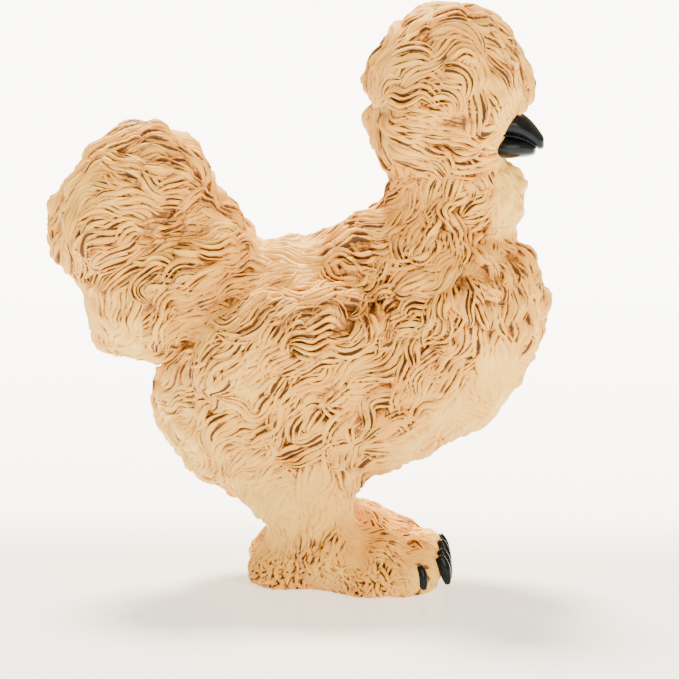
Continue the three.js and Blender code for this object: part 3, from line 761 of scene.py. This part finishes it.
def lay_locks(groups, region, places, rng):
    """Adds a region's locks to the groups of their pieces, the right side's and the left side's apart."""
    at, length, width = places
    strands = np.clip(np.round(width / STYLES[region]["pitch"]), 1, MOST_STRANDS).astype(int)
    sides = np.where(at[:, 1] < 0, "_right", "_left") if region in SPLIT else np.full(len(at), "")
    pieces = np.where((region == "torso") & (at[:, 0] > BREAST_FROM), "breast", PIECE_OF.get(region, region))
    names = np.char.add(pieces, sides)
    for name in np.unique(names):
        for count in range(1, MOST_STRANDS + 1):
            chosen = (strands == count) & (names == name)
            if not chosen.any():
                continue
            feet, outward, placed = laid_out(region, at[chosen], length[chosen], width[chosen], count, rng)
            heights, lines = raised(region, feet, placed, count, rng)
            points = feet + outward * heights[..., None]
            points[..., 2] = np.maximum(points[..., 2], 0)
            clear = ~crossing(feet)
            group = {"feet": feet, "heights": heights, "lines": lines, "points": points}
            if clear.any():
                kept = {key: values[clear] for key, values in group.items()}
                groups.setdefault("coat_" + str(name), []).append(kept)


def gathered(groups, key):
    """One value of every corner of all the groups, end to end."""
    last = (-1, 3) if key == "feet" else (-1,)
    return np.concatenate([group[key].reshape(last) for part in groups.values() for group in part])


def lock_faces(rings, around):
    """The faces of one lock: rings joined by quads, and a cap at each end."""
    quads = []
    for i in range(rings - 1):
        for k in range(around):
            here, beside = i * around + k, i * around + (k + 1) % around
            quads.append((here, here + around, beside + around, beside))
    last = (rings - 1) * around
    return quads, [tuple(range(around)), tuple(range(last + around - 1, last - 1, -1))]


def unfolded(directions):
    """Places in a unit square for directions: a ball opened out into a square from its lowest point."""
    flat = directions / np.abs(directions).sum(1, keepdims=True)
    x, y, z = flat.T
    under = z < 0
    folded_x = np.where(under, (1 - np.abs(y)) * np.where(x < 0, -1, 1), x)
    folded_y = np.where(under, (1 - np.abs(x)) * np.where(y < 0, -1, 1), y)
    return np.stack([folded_x, folded_y], 1) * UNFOLDED_HALF + 0.5


def patches_of(feet, middle):
    """A small patch for each lock on the bake's map, at its root's place on the skin."""
    _, rings, around, _ = feet.shape
    roots = feet[:, rings // 2, around // 2] - middle
    corner = np.stack(np.meshgrid(np.linspace(0, 1, rings), np.linspace(0, 1, around), indexing="ij"), -1)
    return (unfolded(roots)[:, None, None] + (corner - 0.5) * PATCH).reshape(-1, 2)


def made_coat(name, groups):
    """One piece from groups of locks."""
    points, loops, totals, patches = [], [], [], []
    start = 0
    middle = gathered({name: groups}, "feet").mean(0)
    for group in groups:
        count, rings, around, _ = group["feet"].shape
        quads, caps = lock_faces(rings, around)
        order = np.array([corner for face in quads + caps for corner in face])
        offsets = start + np.arange(count)[:, None] * rings * around
        loops.append((offsets + order).ravel())
        totals.append(np.tile([4] * len(quads) + [around] * 2, count))
        points.append(group["points"].reshape(-1, 3))
        patches.append(patches_of(group["feet"], middle))
        start += count * rings * around
    points, loops, totals, patches = (np.concatenate(part) for part in (points, loops, totals, patches))
    mesh = bpy.data.meshes.new(name)
    mesh.vertices.add(len(points))
    mesh.vertices.foreach_set("co", (points * MM).ravel())
    mesh.loops.add(len(loops))
    mesh.loops.foreach_set("vertex_index", loops)
    mesh.polygons.add(len(totals))
    mesh.polygons.foreach_set("loop_start", np.concatenate([[0], np.cumsum(totals)[:-1]]))
    mesh.polygons.foreach_set("loop_total", totals)
    mesh.polygons.foreach_set("use_smooth", np.ones(len(totals), bool))
    mesh.update(calc_edges=True)
    bake_map = mesh.uv_layers.new(name="OFBake")
    bake_map.data.foreach_set("uv", patches[loops].ravel())
    coat = bpy.data.objects.new(name, mesh)
    bpy.context.scene.collection.objects.link(coat)
    return coat


# What the paint reads from skin and coat


def cells_of(feet):
    """The cell of a coarse grid that each foot of a corner falls in."""
    return tuple(np.clip(((feet - GRID_LOW) / CELL).astype(int), 1, np.array(GRID_SHAPE) - 2).T)


def tops_of(feet, heights):
    """The height of the coat's tops round about, by cells of a coarse grid."""
    tops = np.full(GRID_SHAPE, -1.0)
    np.maximum.at(tops, cells_of(feet), heights)
    for axis in range(3):
        tops = np.maximum(tops, np.maximum(np.roll(tops, 1, axis), np.roll(tops, -1, axis)))
    return tops


def between_toes(points):
    """From 0 to 1 in the clefts between the toes."""
    x, y, z = points.T
    away = np.abs(np.abs(y)[:, None] - TOE_CLEFTS).min(1)
    return np.exp(-((away / CLEFT_WIDTH) ** 2)) * eased(x, *CLEFT_STARTS) * eased(z, *CLEFT_FADES_UP)


def mark(piece, feet, heights, lines, tops):
    """Writes how deep each corner lies below the tops round about, whether it lies in an incised line or
    between two toes, and how strong the wash is there."""
    sunk = np.clip((tops[cells_of(feet)] - heights - SUNK_FROM) / SUNK_SPAN, 0, 1)
    clefts = between_toes(feet)
    lines = np.maximum(lines, clefts)
    wash = np.maximum(wash_at(feet), CLEFT_WASH * clefts)
    for name, values in (("sunk", sunk), ("line", lines), ("wash", wash)):
        attribute = piece.data.attributes.new(name, "FLOAT", "POINT")
        attribute.data.foreach_set("value", values.astype(np.float32))


# Materials


def new_paint(name, finish):
    """A material, its nodes and its shader, with the shader's even values set."""
    material = bpy.data.materials.new(name)
    material.use_nodes = True
    tree = material.node_tree
    shader = tree.nodes["Principled BSDF"]
    for socket, value in finish.items():
        shader.inputs[socket].default_value = value
    return material, tree, shader


def node_of(tree, kind, inputs=(), **settings):
    """A node with its settings and inputs: each input is a value or another node's output."""
    node = tree.nodes.new(kind)
    for name, value in settings.items():
        setattr(node, name, value)
    for name, value in dict(inputs).items():
        if isinstance(value, bpy.types.NodeSocket):
            tree.links.new(value, node.inputs[name])
        else:
            node.inputs[name].default_value = value
    return node


def place_of(tree):
    return node_of(tree, "ShaderNodeTexCoord").outputs["Object"]


def noise_of(tree, scale, detail):
    spread = {"Vector": place_of(tree), "Scale": scale, "Detail": detail}
    return node_of(tree, "ShaderNodeTexNoise", spread).outputs["Fac"]


def marked(tree, name):
    return node_of(tree, "ShaderNodeAttribute", attribute_name=name).outputs["Fac"]


def ramp_of(tree, factor, stops):
    """A colour ramp: stops are places with colours."""
    ramp = node_of(tree, "ShaderNodeValToRGB", {"Fac": factor})
    while len(ramp.color_ramp.elements) < len(stops):
        ramp.color_ramp.elements.new(0.5)
    for element, (place, colour) in zip(ramp.color_ramp.elements, stops):
        element.position = place
        element.color = (*colour, 1)
    return ramp.outputs["Color"]


def scaled_to(tree, value, low, high, to_low, to_high, **settings):
    """A value moved from one span to another, and kept inside it."""
    spans = {"Value": value, "From Min": low, "From Max": high, "To Min": to_low, "To Max": to_high}
    return node_of(tree, "ShaderNodeMapRange", spans, **settings).outputs["Result"]


def combined(tree, operation, first, second):
    """Two values multiplied, added or compared."""
    return node_of(tree, "ShaderNodeMath", {0: first, 1: second}, operation=operation).outputs[0]


def mixed(tree, factor, first, second):
    inputs = {"Factor": factor, 6: first, 7: second}
    return node_of(tree, "ShaderNodeMix", inputs, data_type="RGBA").outputs[2]


def add_bumps(tree, shader, height, strength, distance):
    bumps = node_of(tree, "ShaderNodeBump", {"Height": height, "Strength": strength, "Distance": distance})
    tree.links.new(bumps.outputs["Normal"], shader.inputs["Normal"])


def painted_plumage():
    """Matte cream paint, warmer and stained where the wash is strong, with brown left in the grooves."""
    material, tree, shader = new_paint("painted_plumage", MATT_FINISH)

    def spanned(value, span):
        return scaled_to(tree, value, *SPANS[span])

    def times(first, second):
        return combined(tree, "MULTIPLY", first, second)

    wash, sunk, line = (marked(tree, name) for name in ("wash", "sunk", "line"))
    grain = noise_of(tree, GRAINS, 3)
    # The raised parts: cream, and stained towards orange where the wash was not wiped off
    film = times(spanned(wash, "film"), spanned(noise_of(tree, BLOTCHES, 4), "blotch"))
    film = combined(tree, "ADD", film, spanned(times(sunk, wash), "film in dips"))
    in_line = times(line, spanned(wash, "wash in lines"))
    film = combined(tree, "ADD", film, times(in_line, LINE_FILM))
    body = ramp_of(tree, film, BODY_STOPS)
    # The low parts: brown in the incised lines, and in the pits between locks where the wash is strong
    in_pit = times(spanned(sunk, "pit"), spanned(wash, "wash in pits"))
    held = times(combined(tree, "MAXIMUM", in_line, in_pit), spanned(grain, "grain"))
    groove = ramp_of(tree, held, GROOVE_STOPS)
    colour = mixed(tree, spanned(held, "edge of the wash"), body, groove)
    tree.links.new(colour, shader.inputs["Base Color"])
    add_bumps(tree, shader, grain, 0.3, 0.08 * MM)
    return material


def black_gloss():
    """Glossy black paint, brushed on a little unevenly."""
    material, tree, shader = new_paint("black_gloss", GLOSS_FINISH)
    brushed = noise_of(tree, BRUSH_MARKS, 4)
    tree.links.new(ramp_of(tree, brushed, BLACK_STOPS), shader.inputs["Base Color"])
    tree.links.new(scaled_to(tree, brushed, 0, 1, 0.1, 0.2), shader.inputs["Roughness"])
    add_bumps(tree, shader, brushed, 0.15, 0.1 * MM)
    return material


def glowing_pale_floor():
    """White paper with a painted glow, as if lit from below behind the figure as in a light tent: faint near
    the figure, stronger behind it.
    """
    material, tree, shader = new_paint("glowing_pale_floor", FLOOR_FINISH)
    back = node_of(tree, "ShaderNodeSeparateXYZ", {"Vector": place_of(tree)}).outputs["Y"]
    near = scaled_to(tree, back, GLOW_STARTS * MM, GLOW_MIDDLE * MM, NEAR_GLOW, MIDDLE_GLOW,
                     interpolation_type="SMOOTHSTEP")
    far = scaled_to(tree, back, GLOW_MIDDLE * MM, GLOW_ENDS * MM, 0, FAR_GLOW - MIDDLE_GLOW)
    tree.links.new(combined(tree, "ADD", near, far), shader.inputs["Emission Strength"])
    return material


# Beak and claws: forms drawn out of a round end by extruding it step by step


def set_outwards():
    """Turns the faces of the piece that is being edited outwards, and ends the editing."""
    bpy.ops.mesh.select_all(action="SELECT")
    bpy.ops.mesh.normals_make_consistent(inside=False)
    bpy.ops.object.mode_set(mode="OBJECT")


def drawn_out(name, rings, sides=16):
    """A form drawn out along X from a disc: each ring is its place along X, its lowest and highest Z and
    its width."""
    clean_slate()
    x, low, high, width = rings[0]
    middle = Vector((x, 0, (low + high) / 2)) * MM
    bpy.ops.mesh.primitive_circle_add(
        vertices=sides, radius=0.5 * MM, fill_type="NGON", rotation=(0, 90 * DEG, 0), location=middle)
    piece = bpy.context.object
    bpy.ops.object.transform_apply(location=True, rotation=True, scale=True)
    bpy.ops.object.mode_set(mode="EDIT")
    bpy.ops.mesh.select_all(action="SELECT")
    bpy.ops.transform.resize(value=(1, width, high - low), center_override=middle)
    for before, after in zip(rings, rings[1:]):
        rise = (after[1] + after[2] - before[1] - before[2]) / 2
        move = Vector((after[0] - before[0], 0, rise)) * MM
        bpy.ops.mesh.extrude_region_move(TRANSFORM_OT_translate={"value": move})
        bpy.ops.transform.resize(
            value=(1, after[3] / before[3], (after[2] - after[1]) / (before[2] - before[1])),
            center_override=Vector((after[0], 0, (after[1] + after[2]) / 2)) * MM)
    set_outwards()
    piece.name = piece.data.name = name
    apply_modifier(piece, "SUBSURF", levels=2, render_levels=2)
    bpy.ops.object.shade_smooth()
    return piece


def made_beak():
    parts = {"upper_beak": UPPER_BEAK, "lips": LIPS, "lower_beak": LOWER_BEAK}
    return joined("beak_halves", [drawn_out(name, rings) for name, rings in parts.items()])


def straight_claw(name, length, radius):
    rings = []
    for i in range(CLAW_STEPS + 1):
        along = i / CLAW_STEPS
        girth = 2 * radius * fullness(along, CLAW_TAPER)
        rings.append((along * length, -girth / 2, girth / 2, girth * CLAW_NARROW))
    return drawn_out(name, rings, 12)


def bent_down(points, length):
    """The points of a straight claw, bent along an arc whose dip grows from its root to its tip."""
    fine = np.linspace(-0.2, 1.2, 141)
    dips = (CLAW_DIPS[0] + (CLAW_DIPS[1] - CLAW_DIPS[0]) * np.clip(fine, 0, 1) ** 0.5) * DEG
    step = length * (fine[1] - fine[0])
    line_x = np.cumsum(np.cos(dips)) * step
    line_z = -np.cumsum(np.sin(dips)) * step
    start = np.argmin(np.abs(fine))
    share = points[:, 0] / length
    dip = np.interp(share, fine, dips)
    x = np.interp(share, fine, line_x - line_x[start]) + points[:, 2] * np.sin(dip)
    z = np.interp(share, fine, line_z - line_z[start]) + points[:, 2] * np.cos(dip)
    return x, points[:, 1], z


def made_claw(name, place, outwards, length, radius, side):
    """A blunt claw that curves down, set at its root and turned outwards."""
    claw = straight_claw(name, length, radius)
    x, y, z = bent_down(corners_of(claw), length)
    turn = -outwards * DEG
    forwards = x * math.cos(turn) - y * math.sin(turn)
    sideways = x * math.sin(turn) + y * math.cos(turn)
    turned = np.stack([forwards, sideways, z], 1) * (1, -side, 1) + claw_root(place, side)
    turned[:, 2] = np.maximum(turned[:, 2], CLAW_FLOOR)
    set_corners(claw, turned)
    clean_slate()
    bpy.context.view_layer.objects.active = claw
    claw.select_set(True)
    bpy.ops.object.mode_set(mode="EDIT")
    set_outwards()
    return claw


# Camera and studio


def facing(place, aim):
    """The turn with which a camera or a light at a place faces an aim."""
    return (Vector(aim) - Vector(place)).to_track_quat("-Z", "Y").to_euler()


def set_camera():
    flat = CAMERA_FAR * math.cos(CAMERA_ELEVATION)
    up = AIM_UP + CAMERA_FAR * math.sin(CAMERA_ELEVATION)
    place = Vector((math.sin(CAMERA_AZIMUTH) * flat, -math.cos(CAMERA_AZIMUTH) * flat, up))
    bpy.ops.object.camera_add(location=place * MM, rotation=facing(place, (0, 0, AIM_UP)))
    camera = bpy.context.object
    camera.data.lens = LENS
    camera.data.sensor_width = 36
    camera.data.shift_x = SHIFT_X
    camera.data.shift_y = SHIFT_Y
    camera.data.clip_start = 0.01
    bpy.context.scene.camera = camera


def lay_floor():
    clean_slate()
    bpy.ops.mesh.primitive_plane_add(size=FLOOR_SIZE, location=(0, 0, 0))
    floor = bpy.context.object
    floor.name = "floor"
    floor.data.materials.append(glowing_pale_floor())


def light_room():
    """A warm even light from all round."""
    world = bpy.data.worlds.new("studio")
    bpy.context.scene.world = world
    world.use_nodes = True
    background = world.node_tree.nodes["Background"]
    background.inputs["Color"].default_value = ROOM_COLOUR
    background.inputs["Strength"].default_value = ROOM_LIGHT


def light_from_behind():
    """A broad light high behind the figure: its shadow falls towards the camera."""
    bpy.ops.object.light_add(type="SUN", rotation=SUN_TURN)
    sun = bpy.context.object.data
    sun.energy = SUN_STRENGTH
    sun.angle = SUN_SOFTNESS
    sun.color = SUN_COLOUR


def light_from_front():
    """A soft square light that faces the figure."""
    place = FRONT_LIGHT["place"]
    bpy.ops.object.light_add(
        type="AREA", location=Vector(place) * MM, rotation=facing(place, FRONT_LIGHT_AIM))
    light = bpy.context.object.data
    light.size = FRONT_LIGHT["size"] * MM
    light.energy = FRONT_LIGHT["power"]
    light.color = FRONT_LIGHT["colour"]


# The whole figure


def dress(piece, paint):
    """Paints a finished piece and lets it ride on the figure."""
    piece.data.materials.append(paint)
    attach(piece, "root")


def laid_coat(skin, rng):
    """The locks of every region, by the piece that they go to. Where locks part and leave the skin bare,
    more are laid."""
    points, outward, regions = scattered(skin, rng)
    groups = {}
    for region in STYLES:
        inside = regions == region
        lay_locks(groups, region, spaced(region, points[inside], outward[inside], rng), rng)
    cover = tops_of(gathered(groups, "feet"), gathered(groups, "heights"))[cells_of(points)]
    for region, style in STYLES.items():
        inside = (regions == region) & (cover < BARE * style["height"])
        inside &= off_beak(points) > WELL_OFF_BEAK
        if inside.any():
            lay_locks(groups, region, spaced(region, points[inside], outward[inside], rng), rng)
    return groups


plumage_paint = painted_plumage()
black_paint = black_gloss()
set_camera()

skin = made_skin()
groups = laid_coat(skin, np.random.default_rng(LOCK_SEED))
tops = tops_of(gathered(groups, "feet"), gathered(groups, "heights"))
for name, part in groups.items():
    coat = made_coat(name, part)
    feet, heights, lines = (gathered({name: part}, key) for key in ("feet", "heights", "lines"))
    mark(coat, feet, heights, lines, tops)
    dress(coat, plumage_paint)

skin_points = corners_of(skin)
mark(skin, skin_points, form(skin_points)[0], np.zeros(len(skin_points)), tops)
dress(skin, plumage_paint)
flesh = [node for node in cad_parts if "claw" not in node and "beak" not in node]
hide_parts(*flesh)

beak = made_beak()
dress(beak, black_paint)
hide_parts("beak")
for name, (place, outwards, length, radius) in CLAWS.items():
    for side, word in ((-1, "right_"), (1, "left_")):
        claw = made_claw("toenail_" + word + name, place, outwards, length, radius, side)
        dress(claw, black_paint)
        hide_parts("claw_" + word + name)

lay_floor()
light_room()
light_from_behind()
light_from_front()
